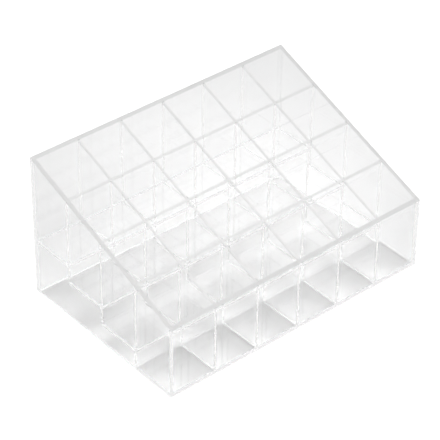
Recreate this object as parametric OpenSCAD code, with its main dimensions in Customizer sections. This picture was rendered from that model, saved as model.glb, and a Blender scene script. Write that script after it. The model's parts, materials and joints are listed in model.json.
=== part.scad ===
/* [Case] */
// Overall width, left to right
body_w = 145; // [110:1:220]
// Overall depth, front to back
body_d = 95.5; // [70:0.5:150]
// Height of the back edge
back_h = 73; // [55:0.5:110]
// Height of the front edge
front_h = 36.5; // [20:0.5:50]
// Thickness of the side, back and front panels
case_t = 2; // [1.5:0.1:4]

/* [Cells] */
// Number of cells from left to right
columns = 6; // [2:1:8]
// Number of cells from front to back
rows = 4; // [2:1:5]
// Thickness of the dividers
divider_t = 1.2; // [1:0.1:3]
// How far the dividers' top edges lie below the rim
rim_drop = 0.45; // [0:0.05:3]

/* [Floor] */
// Thickness of the stepped floor
floor_t = 1.5; // [1:0.1:3]

/* [Joints] */
// Clearance of a crossing slot round the sheet it takes, both sides together
slot_clearance = 0.1; // [0.04:0.01:0.3]

/* [Hidden] */
// Share of the crossing height that the column dividers' slots take
lap_share = 0.5;
// Overrun of a slot past the edge that it opens in
cut_over = 1;

// Clear space inside the case panels
inner_w = body_w - 2 * case_t;
inner_d = body_d - 2 * case_t;
// Clear size of one cell
cell_w = (inner_w - (columns - 1) * divider_t) / columns;
cell_d = (inner_d - (rows - 1) * divider_t) / rows;
// The steps climb as much as the rim does over one row, so every cell is as deep
step_rise = (back_h - front_h) / rows;
slot_w = divider_t + slot_clearance;

// Height of the sloping rim plane at depth y
function rim_z(y) = front_h + (back_h - front_h) * (y + body_d / 2) / body_d;
// Height of the dividers' top edges at depth y
function divider_z(y) = rim_z(y) - rim_drop;
// Centre plane of column divider k and of row divider r, both counted from 1
function column_x(k) = -inner_w / 2 + k * (cell_w + divider_t) - divider_t / 2;
function row_y(r) = -inner_d / 2 + r * (cell_d + divider_t) - divider_t / 2;
// Top face of the floor in row r, counted from 0 at the front
function floor_z(r) = floor_t + r * step_rise;
// Height at which the two slots of a crossing on row divider r meet
function lap_z(r) = floor_z(r) + (divider_z(row_y(r)) - floor_z(r)) * lap_share;

// Side view of a sheet between depths y0 and y1, from z0 up to a sloping edge, drop below the rim
function sheet_outline(y0, y1, z0, drop) =
    [[y0, z0], [y1, z0], [y1, rim_z(y1) - drop], [y0, rim_z(y0) - drop]];

// Side view of a column divider: it stands on every step and straddles every row divider
function column_outline() = concat(
    [[-inner_d / 2, floor_z(0)]],
    [for (r = [1 : rows - 1]) each [
        [row_y(r) - slot_w / 2, floor_z(r - 1)],
        [row_y(r) - slot_w / 2, lap_z(r) + slot_clearance / 2],
        [row_y(r) + slot_w / 2, lap_z(r) + slot_clearance / 2],
        [row_y(r) + slot_w / 2, floor_z(r)]
    ]],
    [[inner_d / 2, floor_z(rows - 1)],
     [inner_d / 2, divider_z(inner_d / 2)],
     [-inner_d / 2, divider_z(-inner_d / 2)]]
);

COLUMN_DIVIDERS = [for (k = [1 : columns - 1]) str("column_divider_", k)];
ROW_DIVIDERS = [for (r = [1 : rows - 1]) str("row_divider_", r)];
FLOORS = [for (r = [1 : rows]) str("floor_step_", r)];

// A sheet of width w along X, centred on x, cut to a side view of [y, z] points
module sheet(points, w, x = 0) {
    translate([x, 0, 0])
        rotate([90, 0, 90])
            linear_extrude(w, center = true) polygon(points);
}

// A side of the case stands between the front and back panels
module side_panel(side) {
    color("aliceblue", 0.5)
        sheet(sheet_outline(-inner_d / 2, inner_d / 2, 0, 0), case_t, side * (inner_w + case_t) / 2);
}

module back_panel() {
    color("aliceblue", 0.5)
        sheet(sheet_outline(inner_d / 2, body_d / 2, 0, 0), body_w);
}

module front_panel() {
    color("aliceblue", 0.5)
        sheet(sheet_outline(-body_d / 2, -inner_d / 2, 0, 0), body_w);
}

module column_divider(k) {
    color("lightcyan", 0.5)
        sheet(column_outline(), divider_t, column_x(k));
}

// A row divider is the riser of its step too: it stands on the lower step, with its slots open at the top
module row_divider(r) {
    y = row_y(r);
    bottom_z = floor_z(r - 1);
    slot_z = lap_z(r) - slot_clearance / 2;
    color("lavender", 0.5)
        difference() {
            sheet(sheet_outline(y - divider_t / 2, y + divider_t / 2, bottom_z, rim_drop), inner_w);
            for (k = [1 : columns - 1])
                translate([column_x(k) - slot_w / 2, y - divider_t / 2 - cut_over, slot_z])
                    cube([slot_w, divider_t + 2 * cut_over, rim_z(y) + cut_over - slot_z]);
        }
}

// A step of the floor runs from the back face of the riser in front of it to under the next riser
module floor_step(r) {
    y0 = r == 0 ? -inner_d / 2 : row_y(r) + divider_t / 2;
    y1 = r == rows - 1 ? inner_d / 2 : row_y(r + 1) + divider_t / 2;
    color("ghostwhite", 0.5)
        translate([-inner_w / 2, y0, floor_z(r) - floor_t])
            cube([inner_w, y1 - y0, floor_t]);
}

side_panel(-1);  // left_side_panel
side_panel(1);  // right_side_panel
back_panel();
front_panel();
for (k = [1 : columns - 1])
    column_divider(k);
for (r = [1 : rows - 1])
    row_divider(r);
for (r = [0 : rows - 1])
    floor_step(r);
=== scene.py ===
"""Clear vanity organizer: polished acrylic sheets and their bonded joints, in a white studio."""

import json
import math

import bmesh
import bpy
from mathutils import Euler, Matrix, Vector
from mathutils.bvhtree import BVHTree

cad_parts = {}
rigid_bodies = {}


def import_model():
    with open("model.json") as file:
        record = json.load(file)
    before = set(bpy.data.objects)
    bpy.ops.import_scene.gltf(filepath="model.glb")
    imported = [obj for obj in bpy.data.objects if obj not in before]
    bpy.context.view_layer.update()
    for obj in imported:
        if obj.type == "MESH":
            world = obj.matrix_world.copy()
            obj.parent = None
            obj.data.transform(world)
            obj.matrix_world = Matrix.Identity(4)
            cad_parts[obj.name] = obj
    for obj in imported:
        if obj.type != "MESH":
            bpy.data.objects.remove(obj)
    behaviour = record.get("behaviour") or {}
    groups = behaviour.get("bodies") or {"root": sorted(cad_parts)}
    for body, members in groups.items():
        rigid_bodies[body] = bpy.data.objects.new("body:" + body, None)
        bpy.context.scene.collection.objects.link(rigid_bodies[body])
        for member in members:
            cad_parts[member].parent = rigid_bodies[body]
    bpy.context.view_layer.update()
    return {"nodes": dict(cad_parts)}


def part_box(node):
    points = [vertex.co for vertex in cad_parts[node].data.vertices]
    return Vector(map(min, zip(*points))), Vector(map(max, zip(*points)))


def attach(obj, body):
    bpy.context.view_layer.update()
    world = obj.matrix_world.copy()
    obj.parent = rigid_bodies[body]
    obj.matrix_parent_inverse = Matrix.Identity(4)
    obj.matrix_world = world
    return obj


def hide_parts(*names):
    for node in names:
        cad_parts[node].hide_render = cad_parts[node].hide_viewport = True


bl_info = {
    "name": "Clear Vanity Organizer",
    "version": (1, 0, 0),
    "blender": (4, 5, 0),
    "location": "View3D > Sidebar > Organizer",
    "description": "Builds a clear organizer of bonded acrylic sheets and the white studio round it",
    "category": "Object",
}

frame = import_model()
MM = 0.001

COLUMN_DIVIDERS = sorted(n for n in frame["nodes"] if n.startswith("column_divider_"))
ROW_DIVIDERS = sorted(n for n in frame["nodes"] if n.startswith("row_divider_"))
FLOOR_STEPS = sorted(n for n in frame["nodes"] if n.startswith("floor_step_"))


def span(node, axis):
    """Lowest and highest place of a CAD node along one axis."""
    low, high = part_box(node)
    return low[axis], high[axis]


X, Y, Z = 0, 1, 2
INNER_LEFT, INNER_RIGHT = span("left_side_panel", X)[1], span("right_side_panel", X)[0]
INNER_FRONT, INNER_BACK = span("front_panel", Y)[1], span("back_panel", Y)[0]
OUTER_LEFT, OUTER_RIGHT = span("front_panel", X)
OUTER_FRONT, OUTER_BACK = span("front_panel", Y)[0], span("back_panel", Y)[1]
CASE_T = INNER_LEFT - OUTER_LEFT
DIVIDER_T = span(COLUMN_DIVIDERS[0], X)[1] - span(COLUMN_DIVIDERS[0], X)[0]
FLOOR_T = span(FLOOR_STEPS[0], Z)[1] - span(FLOOR_STEPS[0], Z)[0]
# The rim is one sloping plane, through the top back edge and the front panel's top inner edge
RIM_BACK_Z = span("back_panel", Z)[1]
RIM_SLOPE = (RIM_BACK_Z - span("front_panel", Z)[1]) / (OUTER_BACK - INNER_FRONT)


def rim_z(y):
    """Height of the sloping rim plane at depth y."""
    return RIM_BACK_Z - RIM_SLOPE * (OUTER_BACK - y)


RIM_DROP = rim_z(INNER_BACK) - span(COLUMN_DIVIDERS[0], Z)[1]


def divider_z(y):
    """Height of the dividers' top edges at depth y."""
    return rim_z(y) - RIM_DROP


FLOOR_Z = [span(step, Z)[1] for step in FLOOR_STEPS]
ROW_SPANS = [span(divider, Y) for divider in ROW_DIVIDERS]
COLUMN_SPANS = [span(divider, X) for divider in COLUMN_DIVIDERS]

# The finishes of a sheet's sides, which are also the numbers of its materials: a polished face,
# a buffed top edge, a sawn edge for cementing, and a joint that clear cement has flooded
FACE, RIM, BOND, FLOODED = 0, 1, 2, 3

# Points this close are one, and a side this close to another sheet is cemented to it
MERGE = 0.001 * MM
CONTACT = 0.05 * MM
# Only edges longer than this are rounded, so those across a sheet's thickness stay sharp
SHORTEST_ARRIS = 2 * CASE_T
ARRIS_SEGMENTS = 2
ROUND_PROFILE = 0.5
# A side is square to an axis if its normal reaches at least this far along it
SQUARE = 0.9999
# Sides that meet at less than this angle are joined into one
FLAT = 0.001
# A line this way tells inside from outside: it is aslant, so that it runs along no side
PROBE = Vector((0.31, 0.52, 0.79)).normalized()

# The slow waves in each kind of sheet: their scale, and how far their pattern is turned
CASE_WAVES = 40.0, 0.0
COLUMN_WAVES = 45.0, 0.7
ROW_WAVES = 50.0, 1.3
FLOOR_WAVES = 45.0, 2.1
SAW_MARKS_SCALE = 900.0
NOISE_DETAIL = 2.0
# Lowest and highest haze of a polished face, and of a thin side, as shares of its mean
FACE_HAZE_SHARES = 0.0, 2.0
EDGE_HAZE_SHARES = 0.7, 1.3
# A flooded joint bends no light, because the cement and both sheets are one clear mass
JOINT_IOR = 1.0

WHITE = (1.0, 1.0, 1.0, 1.0)
# How far the ground reaches from its middle each way, and how far under the organizer it lies
GROUND_REACH = 3.0
GROUND_GAP = 0.1 * MM
# How often light may bounce in the sheets, and off the ground
SHEET_BOUNCES = 128
GROUND_BOUNCES = 8
# Width of the filter that blends neighbouring pixels
PIXEL_FILTER = 2.0


class OrganizerSheets(bpy.types.PropertyGroup):
    """Sizes of the polished sheets."""

    arris: bpy.props.FloatProperty(
        name="Arris", description="Radius of a polished free edge",
        default=0.18 * MM, min=0.0, unit="LENGTH")
    bond: bpy.props.FloatProperty(
        name="Bond", description="How far a cemented edge reaches into its neighbour",
        default=0.03 * MM, min=0.0, unit="LENGTH")
    lap_share: bpy.props.FloatProperty(
        name="Lap share",
        description="Share of a crossing's height that the column divider's slot takes",
        default=0.5, min=0.0, max=1.0, subtype="FACTOR")


class OrganizerFinish(bpy.types.PropertyGroup):
    """Look of the clear acrylic."""

    tint: bpy.props.FloatVectorProperty(
        name="Tint", description="Colour that each face gives to what shows through it",
        default=(1.0, 1.0, 1.0), size=3, min=0.0, max=1.0, subtype="COLOR")
    ior: bpy.props.FloatProperty(
        name="IOR", description="Index of refraction of acrylic", default=1.49, min=1.0, max=2.0)
    roughness: bpy.props.FloatProperty(
        name="Roughness", description="Haze of a polished face", default=0.02, min=0.0, max=1.0)
    rim_roughness: bpy.props.FloatProperty(
        name="Rim roughness", description="Haze of a buffed top edge",
        default=0.35, min=0.0, max=1.0)
    bond_roughness: bpy.props.FloatProperty(
        name="Bond roughness", description="Haze of a sawn edge that no cement has flooded",
        default=0.1, min=0.0, max=1.0)
    # A rim white below 1 tints a buffed top edge grey: painted shade that darkens the rim lines
    case_rim_painted_shade_tint: bpy.props.FloatProperty(
        name="Case rim white",
        description="Share of the light that a case panel's buffed top edge lets by",
        default=0.6, min=0.0, max=1.0, subtype="FACTOR")
    divider_rim_painted_shade_tint: bpy.props.FloatProperty(
        name="Divider rim white",
        description="Share of the light that a divider's buffed top edge lets by",
        default=0.73, min=0.0, max=1.0, subtype="FACTOR")
    wave: bpy.props.FloatProperty(
        name="Wave", description="Height of the slow waves in a cast sheet",
        default=0.01 * MM, min=0.0, unit="LENGTH")


class OrganizerStage(bpy.types.PropertyGroup):
    """The ground, the light and the camera."""

    floor_albedo: bpy.props.FloatProperty(
        name="Floor albedo", description="Share of the light that the white ground returns",
        default=0.8, min=0.0, max=1.0)
    floor_lift: bpy.props.FloatProperty(
        name="Floor lift",
        description="Light added where the ground is seen bare, so that it reads as white",
        default=0.85, min=0.0)
    glass_lift: bpy.props.FloatProperty(
        name="Glass lift",
        description="Light added where the ground is seen through or off the acrylic",
        default=0.155, min=0.0)
    # The pool is a painted pool of light: extra emission on the ground where it is seen through or
    # off the acrylic, brightest at its middle and faded out at its radius
    painted_pool_lift: bpy.props.FloatProperty(
        name="Pool lift",
        description="Light added to the glass lift in the middle of a soft pool on the ground",
        default=0.16, min=0.0)
    painted_pool_middle: bpy.props.FloatVectorProperty(
        name="Pool middle", description="Middle of the pool of light on the ground",
        default=(50.0 * MM, 58.0 * MM, 0.0), size=3, subtype="XYZ", unit="LENGTH")
    painted_pool_radius: bpy.props.FloatProperty(
        name="Pool radius",
        description="From the middle of the pool of light to where it has faded out",
        default=135.0 * MM, min=0.0, unit="LENGTH")
    backdrop: bpy.props.FloatProperty(
        name="Backdrop",
        description="Brightness of the studio where it is seen through or off the acrylic",
        default=1.2, min=0.0)
    # The haze is a painted glow: to rays that have reflected inside the sheets, the ground and the
    # backdrop show this fixed brightness, by its share, in place of what lies there, so that edges
    # and joint lines read in an even grey
    haze: bpy.props.FloatProperty(
        name="Haze",
        description="Brightness that light guided a long way inside the sheets blurs to",
        default=0.9, min=0.0)
    painted_glow_share: bpy.props.FloatProperty(
        name="Haze share", description="Share of the guided light that is blurred",
        default=0.9, min=0.0, max=1.0, subtype="FACTOR")
    painted_glow_start: bpy.props.FloatProperty(
        name="Haze start", description="Inner reflections after which the blur begins",
        default=0.0, min=0.0)
    painted_glow_end: bpy.props.FloatProperty(
        name="Haze end", description="Inner reflections after which the blur is complete",
        default=3.0, min=0.0)
    key_strength: bpy.props.FloatProperty(
        name="Key strength",
        description="Brightness of the small soft light high up behind on the right",
        default=7.2, min=0.0)
    key_heading: bpy.props.FloatProperty(
        name="Key heading",
        description="Where the key light hangs, turned right from the part's +Y",
        default=math.radians(60.0), unit="ROTATION")
    key_elevation: bpy.props.FloatProperty(
        name="Key elevation", description="Height of the key light's middle above the ground",
        default=math.radians(68.0), unit="ROTATION")
    key_spread: bpy.props.FloatProperty(
        name="Key spread",
        description="From the key light's middle to where it has faded out",
        default=math.radians(22.0), unit="ROTATION")
    side_strength: bpy.props.FloatProperty(
        name="Side strength", description="Brightness of the low soft light on the right",
        default=3.1, min=0.0)
    side_heading: bpy.props.FloatProperty(
        name="Side heading",
        description="Where the side light stands, turned right from the part's +Y",
        default=math.radians(120.0), unit="ROTATION")
    side_elevation: bpy.props.FloatProperty(
        name="Side elevation", description="Height of the side light's middle above the ground",
        default=math.radians(10.0), unit="ROTATION")
    side_spread: bpy.props.FloatProperty(
        name="Side spread",
        description="From the side light's middle to where it has faded out",
        default=math.radians(45.0), unit="ROTATION")
    rear_strength: bpy.props.FloatProperty(
        name="Rear strength", description="Brightness of the low soft light behind on the left",
        default=4.2, min=0.0)
    rear_heading: bpy.props.FloatProperty(
        name="Rear heading",
        description="Where the rear light stands, turned right from the part's +Y",
        default=math.radians(330.0), unit="ROTATION")
    rear_elevation: bpy.props.FloatProperty(
        name="Rear elevation", description="Height of the rear light's middle above the ground",
        default=math.radians(10.0), unit="ROTATION")
    rear_spread: bpy.props.FloatProperty(
        name="Rear spread",
        description="From the rear light's middle to where it has faded out",
        default=math.radians(35.0), unit="ROTATION")
    lens: bpy.props.FloatProperty(
        name="Lens", description="Focal length of the camera in mm", default=169.97, min=1.0)
    azimuth: bpy.props.FloatProperty(
        name="Azimuth", description="The camera's heading, turned right from the part's +Y",
        default=math.radians(40.89), unit="ROTATION")
    elevation: bpy.props.FloatProperty(
        name="Elevation", description="How far the camera looks down",
        default=math.radians(36.51), unit="ROTATION")
    roll: bpy.props.FloatProperty(
        name="Roll", description="How far the camera leans round its view axis",
        default=math.radians(0.72), unit="ROTATION")
    distance: bpy.props.FloatProperty(
        name="Distance", description="From the camera to the point that it aims at",
        default=923.3 * MM, unit="LENGTH")
    aim: bpy.props.FloatVectorProperty(
        name="Aim", description="Point in the middle of the picture",
        default=(-4.23 * MM, 0.95 * MM, 33.68 * MM), size=3, subtype="XYZ", unit="LENGTH")


def linked(tree, node_type, values, **settings):
    """Adds a node with its settings; a value is a constant or the output that feeds that input."""
    node = tree.nodes.new(node_type)
    for name, value in settings.items():
        setattr(node, name, value)
    for name, value in values.items():
        if isinstance(value, bpy.types.NodeSocket):
            tree.links.new(value, node.inputs[name])
        else:
            node.inputs[name].default_value = value
    return node


def math_node(tree, operation, *values):
    """Adds a Math node; each value is a number or the output that feeds it."""
    node = linked(tree, "ShaderNodeMath", dict(enumerate(values)), operation=operation)
    return node.outputs["Value"]


def clear_material(name, colour, ior):
    """A new clear material, with its node tree and its shader."""
    material = bpy.data.materials.new(name)
    material.use_nodes = True
    shader = material.node_tree.nodes["Principled BSDF"]
    shader.inputs["Base Color"].default_value = (*colour, 1.0)
    shader.inputs["Transmission Weight"].default_value = 1.0
    shader.inputs["IOR"].default_value = ior
    return material, material.node_tree, shader


def hazed(tree, shader, place, scale, haze, shares):
    """The noise that a shader's roughness follows, between two shares of its haze."""
    noise = linked(tree, "ShaderNodeTexNoise", {
        "Vector": place, "Scale": scale, "Detail": NOISE_DETAIL}).outputs["Fac"]
    low, high = (share * haze for share in shares)
    spread = linked(tree, "ShaderNodeMapRange", {"Value": noise, "To Min": low, "To Max": high})
    tree.links.new(spread.outputs["Result"], shader.inputs["Roughness"])
    return noise


def face_acrylic(name, finish, scale, turn):
    """A polished face: slow waves, and a faint haze."""
    material, tree, shader = clear_material(name, finish.tint, finish.ior)
    place = tree.nodes.new("ShaderNodeTexCoord").outputs["Object"]
    turned = linked(tree, "ShaderNodeMapping", {"Vector": place, "Rotation": (0.0, 0.0, turn)})
    waves = hazed(tree, shader, turned.outputs["Vector"], scale, finish.roughness,
                  FACE_HAZE_SHARES)
    bump = linked(tree, "ShaderNodeBump", {"Distance": finish.wave, "Height": waves})
    tree.links.new(bump.outputs["Normal"], shader.inputs["Normal"])
    return material


def edge_acrylic(name, white, haze, ior):
    """A thin side of a sheet, with fine saw marks left in it; a white below 1 tints it grey, as
    painted shade on the rims.
    """
    material, tree, shader = clear_material(name, [white] * 3, ior)
    place = tree.nodes.new("ShaderNodeTexCoord").outputs["Object"]
    hazed(tree, shader, place, SAW_MARKS_SCALE, haze, EDGE_HAZE_SHARES)
    return material


def joint_acrylic(name):
    """A joint flooded with clear cement, which light passes as if nothing was there."""
    material, _, shader = clear_material(name, WHITE[:3], JOINT_IOR)
    shader.inputs["Roughness"].default_value = 0.0
    return material


def finishes_of(kind, waves, rim, rim_painted_shade_tint, finish):
    """The four materials of a kind of sheet, by their finish numbers."""
    def once(make, name, *look):
        return bpy.data.materials.get(name) or make(name, *look)

    return [face_acrylic(f"polished_{kind}_acrylic", finish, *waves),
            once(edge_acrylic, rim, rim_painted_shade_tint, finish.rim_roughness, finish.ior),
            once(edge_acrylic, "cemented_edge", 1.0, finish.bond_roughness, finish.ior),
            once(joint_acrylic, "flooded_joint")]


def inner_finishes(kind, waves, finish):
    """The four materials of a kind of sheet inside the case."""
    return finishes_of(kind, waves, "buffed_divider_rim", finish.divider_rim_painted_shade_tint, finish)


def across(outline, x0, x1):
    """The left and right outlines of a sheet with a side view of (y, z, finish) points."""
    return [[(x, y, z, finish) for y, z, finish in outline] for x in (x0, x1)]


def sheet(near, far):
    """The mesh of a closed sheet between two outlines of like (x, y, z, finish) points.

    A point's finish is that of the thin side from it to the next point.
    """
    bm = bmesh.new()
    finishes = [finish for *_, finish in near]
    near, far = ([bm.verts.new(co) for *co, _ in loop] for loop in (near, far))
    bm.faces.new(reversed(near))
    bm.faces.new(far)
    for i, finish in enumerate(finishes):
        j = (i + 1) % len(near)
        bm.faces.new((near[i], near[j], far[j], far[i])).material_index = finish
    mesh = bpy.data.meshes.new("sheet")
    bm.to_mesh(mesh)
    bm.free()
    return mesh


def finished(mesh, node, finishes, arris):
    """Rounds the sheet's free edges, and makes it the piece that stands for its CAD node."""
    bm = bmesh.new()
    bm.from_mesh(mesh)
    bmesh.ops.recalc_face_normals(bm, faces=bm.faces)
    free = [edge for edge in bm.edges if edge.calc_length() > SHORTEST_ARRIS
            and {face.material_index for face in edge.link_faces} == {FACE, RIM}]
    # The rounded arrises take the rim material, with its painted grey shade
    bmesh.ops.bevel(bm, geom=free, offset=arris, segments=ARRIS_SEGMENTS, profile=ROUND_PROFILE,
                    affect="EDGES", material=RIM)
    bm.to_mesh(mesh)
    bm.free()
    piece = bpy.data.objects.new(f"{node}_sheet", mesh)
    bpy.context.scene.collection.objects.link(piece)
    for material in finishes:
        mesh.materials.append(material)
    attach(piece, "root")
    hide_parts(node)


def under_rim(y0, y1, ends):
    """Side view of a case panel between y0 and y1, from the ground up to the rim."""
    return [(y0, 0.0, BOND), (y1, 0.0, ends), (y1, rim_z(y1), RIM), (y0, rim_z(y0), ends)]


def lap_z(r, sheets):
    """Height at which the slots of a row divider and of the column dividers meet."""
    landing, top = FLOOR_Z[r + 1], divider_z(sum(ROW_SPANS[r]) / 2)
    return landing + (top - landing) * sheets.lap_share


def row_outline(r, y, sheets):
    """A row divider's outline in the plane at depth y, with a slot down for each column divider."""
    left, right = INNER_LEFT - sheets.bond, INNER_RIGHT + sheets.bond
    foot, landing, rim = FLOOR_Z[r] - sheets.bond, FLOOR_Z[r + 1], divider_z(y)
    lap = lap_z(r, sheets) + sheets.bond
    points = [(left, y, foot, FLOODED), (right, y, foot, BOND),
              (right, y, landing, FLOODED), (right, y, rim, RIM)]
    for x0, x1 in reversed(COLUMN_SPANS):
        x0 += sheets.bond
        x1 -= sheets.bond
        points += [(x1, y, rim, FLOODED), (x1, y, lap, FLOODED),
                   (x0, y, lap, FLOODED), (x0, y, rim, RIM)]
    return points + [(left, y, rim, FLOODED), (left, y, landing, BOND)]


# The corners of a column divider's outline: one at the front, four round each slot, and three
# that close it. Round a slot, 0 is the foot in front of it, 1 and 2 are its top, and 3 is the
# foot behind it, a step higher. The three that close it are the back foot and the two ends of
# the rim. A limit lies half a number from the numbers that it parts.
SLOT_CORNERS = 4.0
OTHER_CORNERS = 4.0
TOP_FRONT = 1
TOP_BACK = 2
BACK_FOOT, BACK_RIM, FRONT_RIM = 1, 2, 3
HALF = 0.5
OVER_HALF = 0.6


def divider_nodes():
    """Node tree of a column divider: stepped underneath, with a slot up for each row divider."""
    tree = bpy.data.node_groups.new("column_divider", "GeometryNodeTree")
    tree.interface.new_socket("Sheet", in_out="OUTPUT", socket_type="NodeSocketGeometry")
    for kind, names in (
            ("Int", ("Slots",)),
            ("Float", ("Front", "Back", "First slot", "Slot pitch", "Slot width", "Foot",
                       "Step rise", "Slot top", "Slot top rise", "Rim height", "Rim slope",
                       "Left", "Thickness")),
            ("Material", ("Face", "Rim", "Cemented", "Flooded"))):
        for name in names:
            tree.interface.new_socket(name, in_out="INPUT", socket_type=f"NodeSocket{kind}")
    given = tree.nodes.new("NodeGroupInput").outputs

    def maths(operation, *values):
        return math_node(tree, operation, *values)

    def choose(switch, no, yes):
        return linked(tree, "GeometryNodeSwitch", {"Switch": switch, "False": no, "True": yes},
                      input_type="FLOAT").outputs["Output"]

    def point(x, y, z=0.0):
        return linked(tree, "ShaderNodeCombineXYZ", {"X": x, "Y": y, "Z": z}).outputs["Vector"]

    # Which slot a corner belongs to, and which of the slot's four it is
    index = tree.nodes.new("GeometryNodeInputIndex").outputs["Index"]
    last = maths("MULTIPLY", given["Slots"], SLOT_CORNERS)
    number = maths("MINIMUM", maths("SUBTRACT", index, 1.0), maths("SUBTRACT", last, 1.0))
    number = maths("MAXIMUM", number, 0.0)
    slot = maths("FLOOR", maths("DIVIDE", number, SLOT_CORNERS))
    corner = maths("SUBTRACT", number, maths("MULTIPLY", slot, SLOT_CORNERS))

    # Where the corners round the slots lie
    y = maths("MULTIPLY_ADD", slot, given["Slot pitch"], given["First slot"])
    behind = maths("GREATER_THAN", corner, TOP_FRONT + HALF)
    y = maths("MULTIPLY_ADD", behind, given["Slot width"], y)
    step = maths("ADD", slot, maths("GREATER_THAN", corner, TOP_BACK + HALF))
    foot = maths("MULTIPLY_ADD", step, given["Step rise"], given["Foot"])
    top = maths("MULTIPLY_ADD", slot, given["Slot top rise"], given["Slot top"])
    z = choose(maths("COMPARE", corner, TOP_FRONT + HALF, OVER_HALF), foot, top)

    # Where the other corners lie
    closing = maths("SUBTRACT", index, last)
    y = choose(maths("GREATER_THAN", closing, BACK_FOOT - HALF), y, given["Back"])
    front = maths("MAXIMUM", maths("LESS_THAN", index, HALF),
                  maths("GREATER_THAN", closing, FRONT_RIM - HALF))
    y = choose(front, y, given["Front"])
    z = choose(maths("GREATER_THAN", closing, BACK_RIM - HALF), z,
               maths("MULTIPLY_ADD", y, given["Rim slope"], given["Rim height"]))
    corners = linked(tree, "GeometryNodePoints", {
        "Count": maths("ADD", last, OTHER_CORNERS), "Position": point(y, z)})
    line = linked(tree, "GeometryNodePointsToCurves", {"Points": corners.outputs["Points"]})
    outline = linked(tree, "GeometryNodeSetSplineCyclic", {
        "Geometry": line.outputs["Curves"], "Cyclic": True})

    # The sheet: the outline filled, raised to its thickness, closed underneath and stood upright
    face = linked(tree, "GeometryNodeFillCurve", {"Curve": outline.outputs["Geometry"]},
                  mode="NGONS")
    raised = linked(tree, "GeometryNodeExtrudeMesh", {
        "Mesh": face.outputs["Mesh"], "Offset": (0.0, 0.0, 1.0),
        "Offset Scale": given["Thickness"], "Individual": False})
    both = tree.nodes.new("GeometryNodeJoinGeometry")
    tree.links.new(face.outputs["Mesh"], both.inputs["Geometry"])
    tree.links.new(raised.outputs["Mesh"], both.inputs["Geometry"])
    closed = linked(tree, "GeometryNodeMergeByDistance", {
        "Geometry": both.outputs["Geometry"], "Distance": MERGE})
    upright = linked(tree, "GeometryNodeTransform", {
        "Geometry": closed.outputs["Geometry"], "Translation": point(given["Left"], 0.0),
        "Rotation": (math.pi / 2, 0.0, math.pi / 2)})

    # The finishes: thin sides are flooded joints, apart from the rim, the front end and the
    # lowest foot
    normal = linked(tree, "ShaderNodeSeparateXYZ", {
        "Vector": tree.nodes.new("GeometryNodeInputNormal").outputs["Normal"]})
    place = linked(tree, "ShaderNodeSeparateXYZ", {
        "Vector": tree.nodes.new("GeometryNodeInputPosition").outputs["Position"]}).outputs
    thin = maths("LESS_THAN", maths("ABSOLUTE", normal.outputs["X"]), HALF)
    rim = maths("MULTIPLY_ADD", place["Y"], given["Rim slope"], given["Rim height"])
    on_rim = maths("MULTIPLY", thin, maths("COMPARE", place["Z"], rim, MERGE))
    cemented = maths("MAXIMUM", maths("COMPARE", place["Y"], given["Front"], MERGE),
                     maths("COMPARE", place["Z"], given["Foot"], MERGE))
    whole = linked(tree, "GeometryNodeRealizeInstances", {
        "Geometry": upright.outputs["Geometry"]}).outputs["Geometry"]
    for name, where in (("Face", 1.0), ("Flooded", thin), ("Rim", on_rim),
                        ("Cemented", maths("MULTIPLY", thin, cemented))):
        whole = linked(tree, "GeometryNodeSetMaterial", {
            "Geometry": whole, "Selection": maths("GREATER_THAN", where, HALF),
            "Material": given[name]}).outputs["Geometry"]
    end = tree.nodes.new("NodeGroupOutput")
    tree.links.new(whole, end.inputs["Sheet"])
    return tree


def from_nodes(tree, values, finishes):
    """The plain mesh that a node tree makes of the given inputs, with its finishes' numbers."""
    maker = bpy.data.objects.new("maker", bpy.data.meshes.new("maker"))
    bpy.context.scene.collection.objects.link(maker)
    modifier = maker.modifiers.new("sheet", "NODES")
    modifier.node_group = tree
    for item in tree.interface.items_tree:
        if item.in_out == "INPUT":
            modifier[item.identifier] = values[item.name]
    bpy.context.view_layer.update()
    depsgraph = bpy.context.evaluated_depsgraph_get()
    mesh = bpy.data.meshes.new_from_object(maker.evaluated_get(depsgraph))
    maker.modifiers.remove(modifier)
    bpy.data.objects.remove(maker)
    numbers = [finishes.index(mesh.materials[face.material_index]) for face in mesh.polygons]
    mesh.materials.clear()
    mesh.polygons.foreach_set("material_index", numbers)
    return mesh


def shell_of(mesh):
    """A sheet's closed shell, to test points against."""
    mesh.calc_loop_triangles()
    return BVHTree.FromPolygons([vert.co for vert in mesh.vertices],
                                [triangle.vertices for triangle in mesh.loop_triangles],
                                all_triangles=True)


def inside(shell, point):
    """Whether a point is in a closed shell: a line from it then meets it an odd number of times."""
    crossings = 0
    while True:
        place = shell.ray_cast(point, PROBE)[0]
        if place is None:
            return crossings % 2 == 1
        crossings += 1
        point = place + PROBE * MERGE


def levels_of(mesh):
    """The places of a sheet's upright and level sides, as (axis, place) in whole micrometres."""
    return {(k, round(face.center[k] / MERGE)) for face in mesh.polygons for k in (X, Y, Z)
            if abs(face.normal[k]) > SQUARE}


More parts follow.
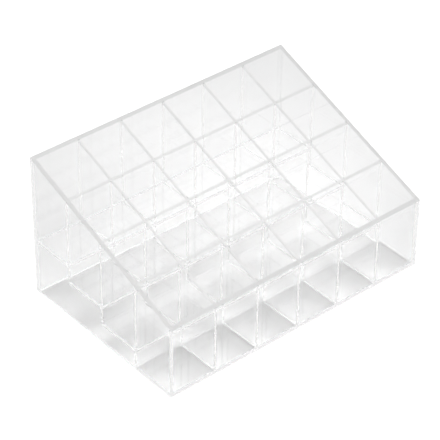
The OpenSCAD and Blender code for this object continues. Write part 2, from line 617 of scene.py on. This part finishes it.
def cement(mesh, levels, shells):
    """Cuts a sheet along its neighbours' levels, and floods the joints where it touches them."""
    bm = bmesh.new()
    bm.from_mesh(mesh)
    low, high = ([pick(vert.co[k] for vert in bm.verts) for k in (X, Y, Z)] for pick in (min, max))
    thin = min((X, Y, Z), key=lambda k: high[k] - low[k])
    for k, level in sorted(levels):
        if k != thin and low[k] + MERGE < level * MERGE < high[k] - MERGE:
            normal = Vector([float(axis == k) for axis in (X, Y, Z)])
            bmesh.ops.bisect_plane(bm, geom=bm.verts[:] + bm.edges[:] + bm.faces[:], dist=MERGE,
                                   plane_co=normal * level * MERGE, plane_no=normal)
    for face in bm.faces:
        beyond = face.calc_center_median() + face.normal * CONTACT
        if face.material_index != RIM and any(inside(shell, beyond) for shell in shells):
            face.material_index = FLOODED
    bmesh.ops.dissolve_limit(bm, angle_limit=FLAT, verts=bm.verts[:], edges=bm.edges[:],
                             delimit={"MATERIAL", "NORMAL"})
    bm.to_mesh(mesh)
    bm.free()


class ORGANIZER_OT_case(bpy.types.Operator):
    """Make the four case panels"""

    bl_idname = "organizer.case"
    bl_label = "Case panels"

    def execute(self, context):
        sheets, finish = context.scene.organizer_sheets, context.scene.organizer_finish
        finishes = finishes_of("case", CASE_WAVES, "buffed_case_rim", finish.case_rim_painted_shade_tint, finish)
        side = under_rim(INNER_FRONT - sheets.bond, INNER_BACK + sheets.bond, BOND)
        back = under_rim(INNER_BACK, OUTER_BACK, FACE)
        front = under_rim(OUTER_FRONT, INNER_FRONT, FACE)
        for node, outline, x0, x1 in (("left_side_panel", side, OUTER_LEFT, INNER_LEFT),
                                      ("right_side_panel", side, INNER_RIGHT, OUTER_RIGHT),
                                      ("back_panel", back, OUTER_LEFT, OUTER_RIGHT),
                                      ("front_panel", front, OUTER_LEFT, OUTER_RIGHT)):
            finished(sheet(*across(outline, x0, x1)), node, finishes, sheets.arris)
        return {"FINISHED"}


class ORGANIZER_OT_column_dividers(bpy.types.Operator):
    """Make the dividers that run front to back"""

    bl_idname = "organizer.column_dividers"
    bl_label = "Column dividers"

    def execute(self, context):
        sheets, finish = context.scene.organizer_sheets, context.scene.organizer_finish
        finishes = inner_finishes("column", COLUMN_WAVES, finish)
        tree = divider_nodes()
        values = {
            "Slots": len(ROW_SPANS), "Front": INNER_FRONT - sheets.bond,
            "Back": INNER_BACK + sheets.bond, "First slot": ROW_SPANS[0][0] + sheets.bond,
            "Slot pitch": ROW_SPANS[1][0] - ROW_SPANS[0][0],
            "Slot width": DIVIDER_T - 2 * sheets.bond, "Foot": FLOOR_Z[0] - sheets.bond,
            "Step rise": FLOOR_Z[1] - FLOOR_Z[0], "Slot top": lap_z(0, sheets) - sheets.bond,
            "Slot top rise": lap_z(1, sheets) - lap_z(0, sheets), "Rim height": divider_z(0.0),
            "Rim slope": RIM_SLOPE, "Thickness": DIVIDER_T, "Face": finishes[FACE],
            "Rim": finishes[RIM], "Cemented": finishes[BOND], "Flooded": finishes[FLOODED]}
        for node, (x0, _) in zip(COLUMN_DIVIDERS, COLUMN_SPANS):
            mesh = from_nodes(tree, {**values, "Left": x0}, finishes)
            finished(mesh, node, finishes, sheets.arris)
        return {"FINISHED"}


class ORGANIZER_OT_row_dividers(bpy.types.Operator):
    """Make the dividers that run side to side and are the risers of the steps"""

    bl_idname = "organizer.row_dividers"
    bl_label = "Row dividers"

    def execute(self, context):
        sheets, finish = context.scene.organizer_sheets, context.scene.organizer_finish
        finishes = inner_finishes("row", ROW_WAVES, finish)
        for r, (node, (y0, y1)) in enumerate(zip(ROW_DIVIDERS, ROW_SPANS)):
            mesh = sheet(row_outline(r, y0, sheets), row_outline(r, y1, sheets))
            finished(mesh, node, finishes, sheets.arris)
        return {"FINISHED"}


class ORGANIZER_OT_floor_steps(bpy.types.Operator):
    """Make the four steps of the floor"""

    bl_idname = "organizer.floor_steps"
    bl_label = "Floor steps"

    def execute(self, context):
        sheets, finish = context.scene.organizer_sheets, context.scene.organizer_finish
        finishes = inner_finishes("floor", FLOOR_WAVES, finish)
        for node, top in zip(FLOOR_STEPS, FLOOR_Z):
            y0, y1 = span(node, Y)
            y0 -= sheets.bond
            if node == FLOOR_STEPS[-1]:
                y1 += sheets.bond
            foot = top - FLOOR_T
            outline = [(y0, foot, FACE), (y1, foot, FLOODED), (y1, top, FACE), (y0, top, BOND)]
            mesh = sheet(*across(outline, INNER_LEFT - sheets.bond, INNER_RIGHT + sheets.bond))
            finished(mesh, node, finishes, sheets.arris)
        return {"FINISHED"}


class ORGANIZER_OT_joints(bpy.types.Operator):
    """Cement the sheets together wherever they touch"""

    bl_idname = "organizer.joints"
    bl_label = "Cemented joints"

    def execute(self, context):
        meshes = [piece.data for piece in bpy.data.objects if piece.name.endswith("_sheet")]
        known = [(mesh, levels_of(mesh), shell_of(mesh)) for mesh in meshes]
        for mesh in meshes:
            others = [facts for facts in known if facts[0] is not mesh]
            levels = set().union(*(levels for _, levels, _ in others))
            cement(mesh, levels, [shell for *_, shell in others])
        return {"FINISHED"}


def ways_of_seeing(tree, stage):
    """Three outputs: seen bare, seen through or off the acrylic, and the share of the painted glow,
    which grows with the reflections a ray has made inside the sheets.

    All three are 0 for the light that falls on the ground.
    """
    path = tree.nodes.new("ShaderNodeLightPath").outputs
    glass = math_node(tree, "MAXIMUM", path["Is Transmission Ray"], path["Is Glossy Ray"])
    before_ground = math_node(tree, "LESS_THAN", path["Diffuse Depth"], HALF)
    through = math_node(tree, "MULTIPLY", glass, before_ground)
    # How much of the painted glow replaces the ground and the backdrop, by the reflections a ray has
    # made inside the sheets
    guided = linked(tree, "ShaderNodeMapRange", {
        "Value": path["Glossy Depth"], "From Min": stage.painted_glow_start, "From Max": stage.painted_glow_end,
        "To Min": 0.0, "To Max": stage.painted_glow_share}).outputs["Result"]
    return path["Is Camera Ray"], through, math_node(tree, "MULTIPLY", through, guided)


def white_ground(stage):
    """Matt white ground that keeps shadows and is lifted to white where it is seen, with a painted
    pool of light and a painted glow where it is seen through or off the acrylic.
    """
    material = bpy.data.materials.new("white_ground")
    material.use_nodes = True
    tree = material.node_tree
    shader = tree.nodes["Principled BSDF"]
    shader.inputs["Base Color"].default_value = (*[stage.floor_albedo] * 3, 1.0)
    shader.inputs["Roughness"].default_value = 1.0
    shader.inputs["Specular IOR Level"].default_value = 0.0
    shader.inputs["Emission Color"].default_value = WHITE
    bare, through, haze = ways_of_seeing(tree, stage)
    # A painted pool of light: the glass lift grows towards the pool's middle
    place = tree.nodes.new("ShaderNodeTexCoord").outputs["Object"]
    away = linked(tree, "ShaderNodeVectorMath", {0: place, 1: stage.painted_pool_middle},
                  operation="DISTANCE").outputs["Value"]
    pool = linked(tree, "ShaderNodeMapRange", {
        "Value": away, "From Min": 0.0, "From Max": stage.painted_pool_radius,
        "To Min": stage.glass_lift + stage.painted_pool_lift, "To Max": stage.glass_lift},
        interpolation_type="SMOOTHSTEP").outputs["Result"]
    lift = math_node(tree, "MULTIPLY_ADD", bare, stage.floor_lift,
                     math_node(tree, "MULTIPLY", through, pool))
    tree.links.new(lift, shader.inputs["Emission Strength"])
    # A painted glow of fixed brightness, shown in place of the ground to rays that have reflected
    # inside the sheets
    painted_glow = linked(tree, "ShaderNodeEmission", {"Strength": stage.haze})
    seen = linked(tree, "ShaderNodeMixShader", {
        0: haze, 1: shader.outputs["BSDF"], 2: painted_glow.outputs["Emission"]})
    tree.links.new(seen.outputs["Shader"], tree.nodes["Material Output"].inputs["Surface"])
    return material


def soft_light(tree, direction, brightness, heading, elevation, spread, strength):
    """Adds a soft light to the sky's brightness: full at its middle, faded out at its spread."""
    flat = math.cos(elevation)
    middle = (flat * math.sin(heading), flat * math.cos(heading), math.sin(elevation))
    toward = linked(tree, "ShaderNodeVectorMath", {0: direction, 1: middle},
                    operation="DOT_PRODUCT").outputs["Value"]
    fade = linked(tree, "ShaderNodeMapRange", {
        "Value": toward, "From Min": math.cos(spread), "From Max": 1.0,
        "To Min": 0.0, "To Max": strength}, interpolation_type="SMOOTHSTEP")
    return math_node(tree, "ADD", fade.outputs["Result"], brightness)


def studio_sky(stage):
    """A white backdrop, with soft lights high on the right, low on the right and low behind, and a
    painted glow where it is seen after reflections inside the sheets.
    """
    world = bpy.data.worlds.new("studio_sky")
    world.use_nodes = True
    tree = world.node_tree
    direction = tree.nodes.new("ShaderNodeTexCoord").outputs["Generated"]
    light = 0.0
    for name in ("key", "side", "rear"):
        place_and_look = (getattr(stage, f"{name}_{value}")
                          for value in ("heading", "elevation", "spread", "strength"))
        light = soft_light(tree, direction, light, *place_and_look)
    bare, through, haze = ways_of_seeing(tree, stage)
    unseen = math_node(tree, "SUBTRACT", 1.0, math_node(tree, "ADD", bare, through))
    light = math_node(tree, "MULTIPLY_ADD", light, unseen, bare)
    light = math_node(tree, "MULTIPLY_ADD", through, stage.backdrop, light)
    # A painted glow: the backdrop turns to the haze brightness for rays that have reflected inside
    # the sheets
    light = math_node(tree, "MULTIPLY_ADD", haze, stage.haze - stage.backdrop, light)
    background = tree.nodes["Background"]
    background.inputs["Color"].default_value = WHITE
    tree.links.new(light, background.inputs["Strength"])
    return world


class ORGANIZER_OT_stage(bpy.types.Operator):
    """Make the ground, the light and the camera"""

    bl_idname = "organizer.stage"
    bl_label = "Studio"

    def execute(self, context):
        scene, stage = context.scene, context.scene.organizer_stage
        bm = bmesh.new()
        bmesh.ops.create_grid(bm, x_segments=1, y_segments=1, size=GROUND_REACH)
        bmesh.ops.translate(bm, verts=bm.verts, vec=(0.0, 0.0, -GROUND_GAP))
        mesh = bpy.data.meshes.new("ground")
        bm.to_mesh(mesh)
        bm.free()
        ground = bpy.data.objects.new("ground", mesh)
        ground.data.materials.append(white_ground(stage))
        scene.collection.objects.link(ground)

        scene.world = studio_sky(stage)

        lens = bpy.data.cameras.new("camera")
        lens.lens = stage.lens
        camera = bpy.data.objects.new("camera", lens)
        turn = Euler((math.pi / 2 - stage.elevation, 0.0, -stage.azimuth)).to_matrix()
        roll = Euler((0.0, 0.0, stage.roll)).to_matrix()
        camera.matrix_world = (turn @ roll).to_4x4()
        camera.location = Vector(stage.aim) + turn @ Vector((0.0, 0.0, stage.distance))
        scene.collection.objects.link(camera)
        scene.camera = camera

        scene.view_settings.view_transform = "Standard"
        scene.cycles.max_bounces = SHEET_BOUNCES
        scene.cycles.transmission_bounces = SHEET_BOUNCES
        scene.cycles.glossy_bounces = SHEET_BOUNCES
        scene.cycles.transparent_max_bounces = SHEET_BOUNCES
        scene.cycles.diffuse_bounces = GROUND_BOUNCES
        scene.cycles.blur_glossy = 0.0
        scene.cycles.filter_width = PIXEL_FILTER
        return {"FINISHED"}


class ORGANIZER_PT_panel(bpy.types.Panel):
    """Lists the organizer's pieces in the sidebar"""

    bl_idname = "ORGANIZER_PT_panel"
    bl_label = "Vanity organizer"
    bl_space_type = "VIEW_3D"
    bl_region_type = "UI"
    bl_category = "Organizer"

    def draw(self, context):
        for group in (context.scene.organizer_sheets, context.scene.organizer_finish,
                      context.scene.organizer_stage):
            box = self.layout.box()
            for name in group.__annotations__:
                box.prop(group, name)
        for operator in OPERATORS:
            self.layout.operator(operator.bl_idname)


OPERATORS = (
    ORGANIZER_OT_case,
    ORGANIZER_OT_column_dividers,
    ORGANIZER_OT_row_dividers,
    ORGANIZER_OT_floor_steps,
    ORGANIZER_OT_joints,
    ORGANIZER_OT_stage,
)
CLASSES = (OrganizerSheets, OrganizerFinish, OrganizerStage, *OPERATORS, ORGANIZER_PT_panel)


def register():
    for cls in CLASSES:
        bpy.utils.register_class(cls)
    bpy.types.Scene.organizer_sheets = bpy.props.PointerProperty(type=OrganizerSheets)
    bpy.types.Scene.organizer_finish = bpy.props.PointerProperty(type=OrganizerFinish)
    bpy.types.Scene.organizer_stage = bpy.props.PointerProperty(type=OrganizerStage)


def unregister():
    del bpy.types.Scene.organizer_stage
    del bpy.types.Scene.organizer_finish
    del bpy.types.Scene.organizer_sheets
    for cls in reversed(CLASSES):
        bpy.utils.unregister_class(cls)


def main():
    register()
    bpy.ops.organizer.case()
    bpy.ops.organizer.column_dividers()
    bpy.ops.organizer.row_dividers()
    bpy.ops.organizer.floor_steps()
    bpy.ops.organizer.joints()
    bpy.ops.organizer.stage()


if __name__ == "__main__":
    main()
